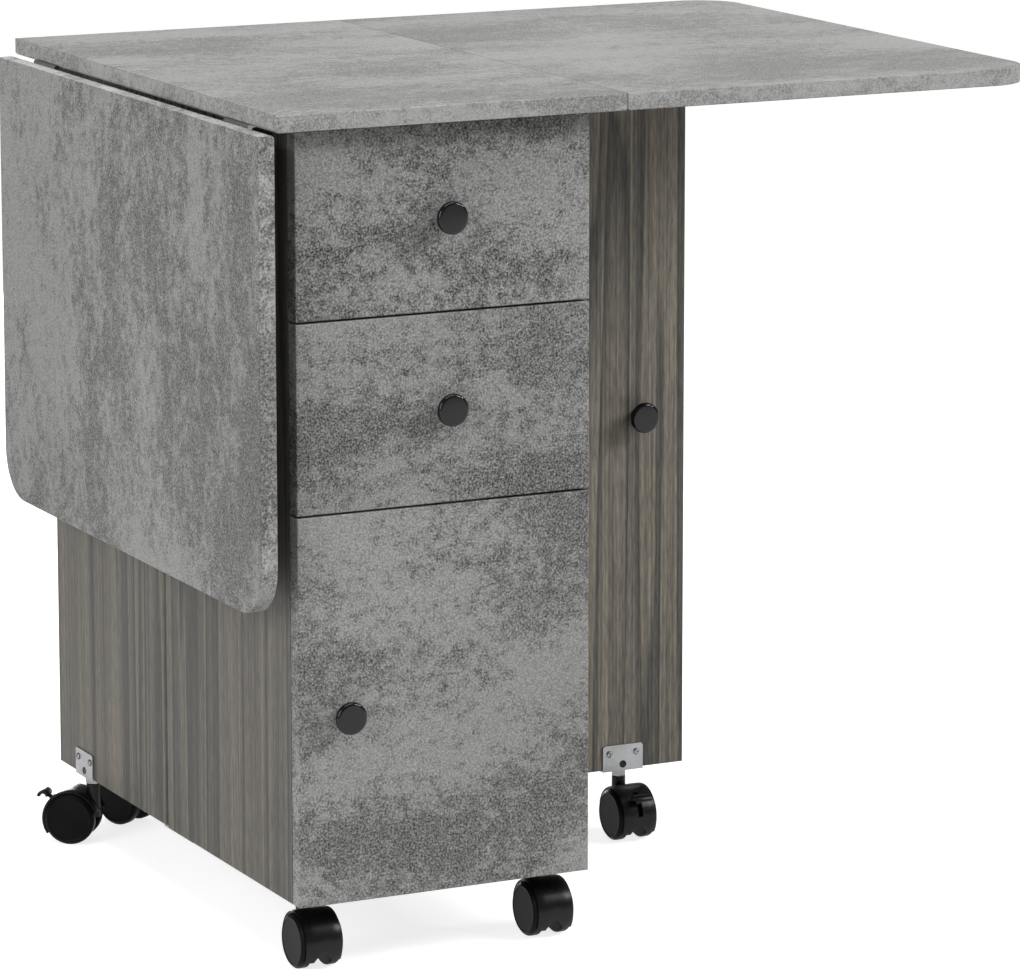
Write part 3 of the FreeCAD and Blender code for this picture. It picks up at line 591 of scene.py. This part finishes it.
def hood_shell(bm, slotted):
    row = [bm.verts.new(arc_point(radius, y, LIP)) for y, radius in SHELL]
    edges = [bm.edges.new(pair) for pair in zip(row, row[1:])]
    bmesh.ops.spin(bm, geom=row + edges, cent=(0, 0, 0), axis=(0, -1, 0), dvec=(0, 0, 0),
                   angle=math.radians(END - LIP), steps=SHELL_STEPS, use_merge=False, use_duplicate=False)
    # the rows just above the notch are spaced out again, and the rows higher up stay level
    for vert in bm.verts:
        turn = angle_at(vert.co)
        if abs(vert.co.y) < NOTCH_HALF and turn < NOTCH_REACH:
            share = (turn - LIP) / (NOTCH_REACH - LIP)
            vert.co = arc_point(SHELL_RADIUS, vert.co.y / MM, NOTCH + share * (NOTCH_REACH - NOTCH))
    if slotted:
        gone = []
        for face in bm.faces:
            centre = face.calc_center_median()
            if abs(centre.y) < SLOT_HALF and SLOT_FROM < angle_at(centre) < SLOT_TO:
                gone.append(face)
        bmesh.ops.delete(bm, geom=gone, context="FACES")
    bmesh.ops.recalc_face_normals(bm, faces=bm.faces)
    if bm.faces[0].normal.dot(bm.faces[0].calc_center_median()) < 0:
        bmesh.ops.reverse_faces(bm, faces=bm.faces)
    bmesh.ops.solidify(bm, geom=bm.faces[:], thickness=SHELL_WALL)


print("hood shells of radius", SHELL_RADIUS, "mm can be spun")

# %% [markdown]
# Webs, necks and whole hoods
# The web is a spun ring, cut off level near the floor and again short of the stem, with a groove all round
# on the casters that have a brake. The neck is a spun sleeve about the stem. Shell, web and neck are joined
# to one piece, and the braked casters get the pin that their lever turns on.

# %% Webs, necks and whole hoods
WEB_RADIUS = 25.2
WEB_HALF = 5.5
WEB_BORE = 2.05
GROOVE_TOP = 24.6
GROOVE_FLOOR = 20.2
GROOVE_HALF = 2.5
WEB_CLEARANCE = 18.0
STEM_CLEARANCE = 4.2
NECK_PROFILE = rounded([
    (0.0, 24.0, 0), (6.5, 24.0, 0), (6.5, 56.2, 0.8), (3.6, 56.2, 0.3), (3.6, 34.6, 0), (0.0, 34.6, 0),
])
LEVER_ANGLE = math.radians(38.0)
LEVER_LINE = Vector((math.cos(LEVER_ANGLE), 0, math.sin(LEVER_ANGLE)))
LEVER_PIN_OUT = 24.0
LEVER_PIN = LEVER_LINE * LEVER_PIN_OUT * MM
PIN_RADIUS = 1.2
PIN_HALF = 4.0


def hood_web(slotted):
    groove = [
        (GROOVE_TOP, -GROOVE_HALF, 0), (GROOVE_FLOOR, -GROOVE_HALF, 0),
        (GROOVE_FLOOR, GROOVE_HALF, 0), (GROOVE_TOP, GROOVE_HALF, 0),
    ]
    lower = [(WEB_BORE, -WEB_HALF, 0), (WEB_RADIUS, -WEB_HALF, 0.6)]
    upper = [(WEB_RADIUS, WEB_HALF, 0.6), (WEB_BORE, WEB_HALF, 0)]
    web = bmesh.new()
    spun(web, rounded(lower + (groove if slotted else []) + upper, 2), 64, closed=True)
    bmesh.ops.transform(web, matrix=ON_AXLE, verts=web.verts)
    return web


def joined(bm, other):
    mesh = bpy.data.meshes.new("joined")
    other.to_mesh(mesh)
    other.free()
    bm.from_mesh(mesh)
    bpy.data.meshes.remove(mesh)


def cut_level(bm, point, normal):
    # keeps what lies behind the plane and closes the cut
    cut = bmesh.ops.bisect_plane(bm, geom=bm.verts[:] + bm.edges[:] + bm.faces[:], dist=1e-7,
                                 plane_co=point, plane_no=normal, clear_outer=True)
    edges = [item for item in cut["geom_cut"] if isinstance(item, bmesh.types.BMEdge)]
    bmesh.ops.contextual_create(bm, geom=edges)


for name in CASTERS:
    slotted = name in BRAKED
    bm = bmesh.new()
    hood_shell(bm, slotted)
    web = hood_web(slotted)
    cut_level(web, (0, 0, (WEB_CLEARANCE - WHEEL) * MM), DOWN)
    cut_level(web, (STEM_CLEARANCE * MM - TRAIL, 0, 0), LEFT)
    joined(bm, web)
    if slotted:
        pin = bmesh.new()
        spun(pin, rod(PIN_RADIUS, PIN_HALF), 16)
        bmesh.ops.transform(pin, matrix=Matrix.Translation(LEVER_PIN) @ ON_AXLE, verts=pin.verts)
        joined(bm, pin)
    bmesh.ops.transform(bm, matrix=TO_AXLE, verts=bm.verts)
    neck = bmesh.new()
    spun(neck, NECK_PROFILE, 32)
    joined(bm, neck)
    swivel = "caster_" + name + "_swivel"
    piece = finished(name + "_hood", bm, moulded_black, swivel, caster_place(name)[0])
    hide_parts("caster_" + name + "_hood")
    print(piece.name, len(piece.data.polygons), "faces")

# %% [markdown]
# Brake levers
# The two casters under the gates have a foot lever. It is a moulded arm that turns on a pin in the hood and
# ends in a hooked paddle. Both parts follow a line in the plane of the wheel, so each is drawn as a ribbon
# about that line, pulled out sideways to its width and given a small bevel all round.

# %% Brake levers
RIM_ANGLE = math.radians(50)


def ribbon(line, half_thick, half_width, soft):
    # line holds (x, z) points; the ribbon runs along them and is flat across Y
    bm = bmesh.new()
    upper = []
    lower = []
    for index, point in enumerate(line):
        before = Vector(line[max(index - 1, 0)])
        after = Vector(line[min(index + 1, len(line) - 1)])
        along = (after - before).normalized()
        across = Vector((-along.y, along.x)) * half_thick
        here = Vector(point)
        upper.append(bm.verts.new((*(here + across), 0)))
        lower.append(bm.verts.new((*(here - across), 0)))
    # drawn flat in XY first, then turned up so that the second coordinate is the height
    faces = [bm.faces.new((a, b, c, d)) for a, b, c, d in zip(upper, upper[1:], lower[1:], lower)]
    raised = bmesh.ops.extrude_face_region(bm, geom=faces)
    tops = [item for item in raised["geom"] if isinstance(item, bmesh.types.BMVert)]
    bmesh.ops.translate(bm, vec=(0, 0, 2 * half_width), verts=tops)
    bmesh.ops.translate(bm, vec=(0, 0, -half_width), verts=bm.verts)
    bmesh.ops.recalc_face_normals(bm, faces=bm.faces)
    rims = [edge for edge in bm.edges if edge.is_manifold and edge.calc_face_angle(0) > RIM_ANGLE]
    bmesh.ops.bevel(bm, geom=rims, offset=soft, segments=2, profile=0.5, affect="EDGES", material=-1)
    bmesh.ops.scale(bm, vec=(MM, MM, MM), verts=bm.verts)
    bmesh.ops.transform(bm, matrix=Matrix.Rotation(math.pi / 2, 4, "X"), verts=bm.verts)
    return bm


ARM_START = 26.4
ARM_END = 30.0
HOOK = 4.2
HOOK_STEPS = 12
HUB = [(1.25, -2.0), (3.1, -2.0), (3.1, 2.0), (1.25, 2.0)]
LEVER_PLANE = Vector((LEVER_LINE.x, LEVER_LINE.z))
KNEE = LEVER_PLANE * ARM_END
arm_line = [LEVER_PLANE * ARM_START, KNEE]
hook_line = []
for step in range(HOOK_STEPS + 1):
    turn = math.pi * (1 - step / HOOK_STEPS)
    hook_line.append(KNEE + Vector((HOOK + HOOK * math.cos(turn), HOOK * math.sin(turn))))
for name in BRAKED:
    bm = ribbon(arm_line, half_thick=1.5, half_width=2.0, soft=0.3)
    joined(bm, ribbon(hook_line, half_thick=1.45, half_width=8.4, soft=0.6))
    hub = bmesh.new()
    spun(hub, HUB, 28, closed=True)
    bmesh.ops.transform(hub, matrix=Matrix.Translation(LEVER_PIN) @ ON_AXLE, verts=hub.verts)
    joined(bm, hub)
    lever = "caster_" + name + "_lever"
    place = caster_place(name)[0] @ TO_AXLE
    piece = finished(name + "_foot_lever", bm, moulded_black, lever, place)
    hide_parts("caster_" + name + "_brake")
    print(piece.name, len(piece.data.polygons), "faces")

# %% [markdown]
# Screw heads
# A pan head with a cross is small but it is what makes a fitting look fixed. The head starts as a square of
# nine faces: the five that form a cross are sunk, the outline of the square is bridged to a circle, and the
# circle is pulled down in two steps to make the rounded side. A last face closes the base. The sizes below
# are shares of the head's radius or height, and the taper is a share of the cross.

# %% Screw heads
SQUARE_HALF = 0.46
CROSS_REACH = 0.2
CROSS_DEPTH = 0.55
CROSS_TAPER = 0.8
CROWN_RADIUS = 0.8
CROWN_HEIGHT = 0.86
SHOULDER_HEIGHT = 0.4


def screw_head(radius, height):
    bm = bmesh.new()
    bmesh.ops.create_grid(bm, x_segments=3, y_segments=3, size=SQUARE_HALF * radius)
    bmesh.ops.translate(bm, vec=(0, 0, height), verts=bm.verts)
    rim = [edge for edge in bm.edges if edge.is_boundary]
    reach = CROSS_REACH * radius
    cross = []
    for face in bm.faces:
        centre = face.calc_center_median()
        if min(abs(centre.x), abs(centre.y)) < reach:
            cross.append(face)
    sunk = bmesh.ops.extrude_face_region(bm, geom=cross)
    bottom = [item for item in sunk["geom"] if isinstance(item, bmesh.types.BMVert)]
    bmesh.ops.delete(bm, geom=[face for face in cross if face.is_valid], context="FACES_ONLY")
    bmesh.ops.translate(bm, vec=(0, 0, -CROSS_DEPTH * height), verts=bottom)
    bmesh.ops.scale(bm, vec=(CROSS_TAPER, CROSS_TAPER, 1.0), verts=bottom)
    circle = bmesh.ops.create_circle(bm, segments=12, radius=CROWN_RADIUS * radius)["verts"]
    bmesh.ops.translate(bm, vec=(0, 0, CROWN_HEIGHT * height), verts=circle)
    ring = list({edge for vert in circle for edge in vert.link_edges})
    rim = [edge for edge in rim if edge.is_valid]
    bmesh.ops.bridge_loops(bm, edges=rim + ring)
    for widen, level in ((1 / CROWN_RADIUS, SHOULDER_HEIGHT * height), (1.0, 0.0)):
        pulled = bmesh.ops.extrude_edge_only(bm, edges=ring)["geom"]
        verts = [item for item in pulled if isinstance(item, bmesh.types.BMVert)]
        ring = [item for item in pulled if isinstance(item, bmesh.types.BMEdge)]
        bmesh.ops.scale(bm, vec=(widen, widen, 1.0), verts=verts)
        for vert in verts:
            vert.co.z = level
    bmesh.ops.contextual_create(bm, geom=ring)
    return bm


def screws(name, body, out, seats, head):
    # head holds the radius and the height in millimetres
    radius, height = head
    bm = bmesh.new()
    for seat in seats:
        screw = screw_head(radius * MM, height * MM)
        bmesh.ops.transform(screw, matrix=facing(out, seat), verts=screw.verts)
        joined(bm, screw)
    return finished(name, bm, zinc, body)


print("screw heads can be made in any size")

# %% [markdown]
# Bracket screws and eyelets
# The zinc bracket of a gate is held by two screws, one on each side of the line of the caster's stem, and a
# black eyelet sits on that line below them.

# %% Bracket screws and eyelets
BRACKET_HEAD = (3.2, 1.7)
BRACKET_SPREAD = 14.2 * MM
BRACKET_DROP = 8.0 * MM
EYELET_DROP = 18.8 * MM
EYELET_PROFILE = rounded([
    (0.0, 0.0, 0), (3.5, 0.0, 0), (3.5, 0.5, 0.2), (2.4, 0.5, 0.2), (2.2, 0.12, 0.1), (0.0, 0.12, 0),
], 3)
for side, out in (("left", LEFT), ("right", FRONT)):
    body = "gate_" + side
    low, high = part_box("gate_" + side + "_bracket")
    stem = Vector(joints[body + "_caster_swivel"]["pos_m"])
    if side == "left":
        along = BACK
        face = Vector((low.x, stem.y, high.z))
    else:
        along = -LEFT
        face = Vector((stem.x, low.y, high.z))
    seats = [face + along * shift + DOWN * BRACKET_DROP for shift in (-BRACKET_SPREAD, BRACKET_SPREAD)]
    screws(body + "_bracket_screws", body, out, seats, BRACKET_HEAD)
    eyelet = bmesh.new()
    spun(eyelet, EYELET_PROFILE, 28)
    place = facing(out, face + DOWN * EYELET_DROP)
    finished(body + "_bracket_eyelet", eyelet, moulded_black, body, place)
print("bracket screws and eyelets on both gates")

# %% [markdown]
# Leaf hinge screws
# A drop leaf shows the underside of its hinges. The screws there are the same heads. Their seats are read
# from the boxes of the plates and the axis of the hinge, so that they stay on the plates if these move.

# %% Leaf hinge screws
HINGE_HEAD = (2.9, 1.1)
HINGE_LENGTH = 52.0 * MM
SCREW_SPREAD = 16.0 * MM
SCREW_SETBACK = 14.0 * MM


def hinge_rows(node):
    # two heads on each of the two hinges of a leaf, set out evenly from the middle of the hinge
    low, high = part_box(node)
    centres = (low.y + HINGE_LENGTH / 2, high.y - HINGE_LENGTH / 2)
    return [centre + shift for centre in centres for shift in (-SCREW_SPREAD, SCREW_SPREAD)]


hinge_x, _, hinge_z = joints["right_leaf_fold"]["pos_m"]
rows = hinge_rows("leaf_hinge_plates")
for name, x in (("left", SCREW_SETBACK - hinge_x), ("right", hinge_x - SCREW_SETBACK)):
    seats = [Vector((x, y, hinge_z)) for y in rows]
    screws(name + "_plate_screws", "cabinet", DOWN, seats, HINGE_HEAD)
rows = hinge_rows("leaf_right_hinge_flaps")
seats = [Vector((hinge_x + SCREW_SETBACK, y, hinge_z)) for y in rows]
screws("right_flap_screws", "leaf_right", DOWN, seats, HINGE_HEAD)
rows = hinge_rows("leaf_left_hinge_flaps")
seats = [Vector((-hinge_x, y, hinge_z - SCREW_SETBACK)) for y in rows]
screws("left_flap_screws", "leaf_left", -LEFT, seats, HINGE_HEAD)
print("leaf hinge screws:", 4 * len(rows))

# %% [markdown]
# Door hinge and pivot screws
# An open door shows the cups of its hinges and the arms inside the cabinet. Each cup has an ear with a screw
# above and below it, and the plate of each arm has two screws as well. The plates that the gates turn in
# are screwed to the underside of the cabinet.

# %% Door hinge and pivot screws
CUP_HEAD = (3.0, 0.9)
CUP_SPREAD = 20.3 * MM
EAR_HALF = 24.0 * MM
PLATE_HEAD = (3.2, 1.4)
PLATE_SPREAD = 16.5 * MM
PLATE_SETBACK = 17.0 * MM
PLATE_THICKNESS = 2.0 * MM
PIVOT_SHIFTS = (9.0 * MM, 30.0 * MM)
cups_low, cups_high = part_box("door_hinge_cups")
cup_rows = (cups_low.z + EAR_HALF, cups_high.z - EAR_HALF)
cup_x = (cups_low.x + cups_high.x) / 2
seats = [Vector((cup_x, cups_high.y, z + side * CUP_SPREAD)) for z in cup_rows for side in (-1, 1)]
screws("door_cup_screws", "door", BACK, seats, CUP_HEAD)

arms_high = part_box("door_hinge_arms")[1]
plate_x = arms_high.x - PLATE_THICKNESS
plate_y = arms_high.y - PLATE_SETBACK
seats = [Vector((plate_x, plate_y, z + side * PLATE_SPREAD)) for z in cup_rows for side in (-1, 1)]
screws("hinge_arm_screws", "cabinet", LEFT, seats, PLATE_HEAD)

pivot_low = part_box("gate_pivot_plates")[0]
pivot_x = joints["right_gate_swing"]["pos_m"][0]
seats = [Vector((x, pivot_low.y + shift, pivot_low.z)) for x in (-pivot_x, pivot_x) for shift in PIVOT_SHIFTS]
screws("pivot_plate_screws", "cabinet", DOWN, seats, PLATE_HEAD)
print("cup, arm and pivot screws")

# %% [markdown]
# Screws behind the knobs
# A knob is held by one screw from behind, which shows when a drawer or the door is open. The door's screw
# has a flatter head.

# %% Screws behind the knobs
fronts = {"upper_drawer": "upper_drawer_front", "lower_drawer": "lower_drawer_front", "door": "door_panel"}
KNOB_HEAD = (4.0, 1.6)
FLAT_KNOB_HEAD = (4.0, 0.9)
for owner, panel in fronts.items():
    seat = middle(owner + "_knob")
    seat.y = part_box(panel)[1].y
    screws(owner + "_knob_screw", owner, BACK, [seat], FLAT_KNOB_HEAD if owner == "door" else KNOB_HEAD)
print("knob screws on the backs of", len(fronts), "fronts")

# %% [markdown]
# Bumpers and shelf pins
# Soft dots of felt keep the fronts from knocking on the cabinet's edges, and small steel pins carry the two
# shelves at the back. A dot is a flat disc with a rounded rim and a pin is a short rod with a rounded tip,
# so both are spun from a profile.

# %% Bumpers and shelf pins
DOT_PROFILE = rounded([(0.0, 0.0, 0), (4.0, 0.0, 0), (4.0, 0.9, 0.4), (0.0, 0.9, 0)], 4)
DOT_INSET = 7.0 * MM
DOT_RISE = 14.0 * MM
for owner, panel in fronts.items():
    low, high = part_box(panel)
    levels = (low.z + DOT_RISE, high.z - DOT_RISE)
    # the door has its dots at the free side only, away from the hinges
    columns = [low.x + DOT_INSET] if owner == "door" else [low.x + DOT_INSET, high.x - DOT_INSET]
    bm = bmesh.new()
    for x in columns:
        for z in levels:
            dot = bmesh.new()
            spun(dot, DOT_PROFILE, 24)
            bmesh.ops.transform(dot, matrix=facing(BACK, Vector((x, high.y, z))), verts=dot.verts)
            joined(bm, dot)
    finished(owner + "_bumpers", bm, felt, owner)

SHELF_PIN_PROFILE = rounded([(0.0, 0.0, 0), (2.5, 0.0, 0), (2.5, 7.5, 0.9), (0.0, 7.5, 0)], 4)
SHELF_PIN_SETBACK = 40.0 * MM
SHELF_PIN_DROP = 2.6 * MM
SHELF_BOARD = 15.0 * MM
low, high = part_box("rear_shelves")
bm = bmesh.new()
for x, out in ((low.x, 1.0), (high.x, -1.0)):
    for y in (low.y + SHELF_PIN_SETBACK, high.y - SHELF_PIN_SETBACK):
        for under in (low.z, high.z - SHELF_BOARD):
            pin = bmesh.new()
            spun(pin, SHELF_PIN_PROFILE, 20)
            seat = Vector((x, y, under - SHELF_PIN_DROP))
            bmesh.ops.transform(pin, matrix=facing((out, 0, 0), seat), verts=pin.verts)
            joined(bm, pin)
piece = finished("shelf_pins", bm, zinc, "cabinet")
print("bumpers and", len(piece.data.polygons), "faces of shelf pins")

# %% [markdown]
# Floor
# The floor is white for the camera but still takes a soft shadow: a camera ray sees some plain glow added
# to the lit surface, and so does a mirrored one, so that metal shows the white room too. Every other ray
# sees a middle grey floor, so that the boards aren't lit from below too strongly.

# %% Floor
FLOOR_HALF = 30.0
FLOOR_GLOW = 0.78
SHOWN_GREY = (0.6, 0.6, 0.6, 1.0)
BOUNCED_GREY = (0.42, 0.42, 0.42, 1.0)
floor_bm = bmesh.new()
bmesh.ops.create_grid(floor_bm, x_segments=1, y_segments=1, size=FLOOR_HALF)
floor_mesh = bpy.data.meshes.new("studio_floor")
floor_bm.to_mesh(floor_mesh)
floor_bm.free()
floor = bpy.data.objects.new("studio_floor", floor_mesh)
scene.collection.objects.link(floor)

floor_material = bpy.data.materials.new("studio_floor")
floor_material.use_nodes = True
tree = floor_material.node_tree
tree.nodes.clear()
output = tree.nodes.new("ShaderNodeOutputMaterial")
path = tree.nodes.new("ShaderNodeLightPath")
glow = tree.nodes.new("ShaderNodeEmission")
glow.inputs["Strength"].default_value = FLOOR_GLOW
shown = tree.nodes.new("ShaderNodeBsdfDiffuse")
shown.inputs["Color"].default_value = SHOWN_GREY
bounced = tree.nodes.new("ShaderNodeBsdfDiffuse")
bounced.inputs["Color"].default_value = BOUNCED_GREY
both = tree.nodes.new("ShaderNodeAddShader")
choice = tree.nodes.new("ShaderNodeMixShader")
tree.links.new(glow.outputs[0], both.inputs[0])
tree.links.new(shown.outputs[0], both.inputs[1])
watched = calculated(tree, "MAXIMUM", path.outputs["Is Camera Ray"], path.outputs["Is Glossy Ray"])
watched = calculated(tree, "MAXIMUM", watched, path.outputs["Is Transmission Ray"])
tree.links.new(watched, choice.inputs[0])
tree.links.new(bounced.outputs[0], choice.inputs[1])
tree.links.new(both.outputs[0], choice.inputs[2])
tree.links.new(choice.outputs[0], output.inputs["Surface"])
floor_mesh.materials.append(floor_material)
print("floor of", 2 * FLOOR_HALF, "m")

# %% [markdown]
# Light
# A large soft lamp hangs overhead, a smaller and harder one stands at the right in front, and a weaker one
# fills the left. A small lamp far to the right draws the bright crescent on the rims of the knobs. One more
# stands low behind, below the level of the top so that the top doesn't mirror it, and lights the open
# shelves. The world adds a little even light from everywhere.

# %% Light
WORLD_STRENGTH = 0.3


def lamp(name, place, target, size, watts):
    data = bpy.data.lights.new(name, "AREA")
    data.size = size
    data.energy = watts
    item = bpy.data.objects.new(name, data)
    item.location = place
    item.rotation_euler = (Vector(target) - Vector(place)).to_track_quat("-Z", "Y").to_euler()
    item.visible_camera = False
    scene.collection.objects.link(item)


lamp("overhead", (0.1, -0.2, 3.4), (0.1, 0.0, 0.4), size=2.6, watts=95.0)
lamp("key", (3.0, -2.7, 2.9), (0.1, 0.0, 0.4), size=1.3, watts=78.0)
lamp("fill", (-3.2, -1.4, 1.7), (0.0, 0.0, 0.4), size=2.0, watts=62.0)
lamp("rim", (4.2, -1.9, 2.5), (0.0, -0.2, 0.6), size=0.42, watts=42.0)
lamp("back", (0.7, 3.2, 0.36), (0.0, 0.0, 0.4), size=0.7, watts=26.0)
world = bpy.data.worlds.new("studio")
world.use_nodes = True
world.node_tree.nodes["Background"].inputs["Color"].default_value = (1.0, 1.0, 1.0, 1.0)
world.node_tree.nodes["Background"].inputs["Strength"].default_value = WORLD_STRENGTH
scene.world = world
scene.view_settings.view_transform = "Standard"
print("five lamps and the world")
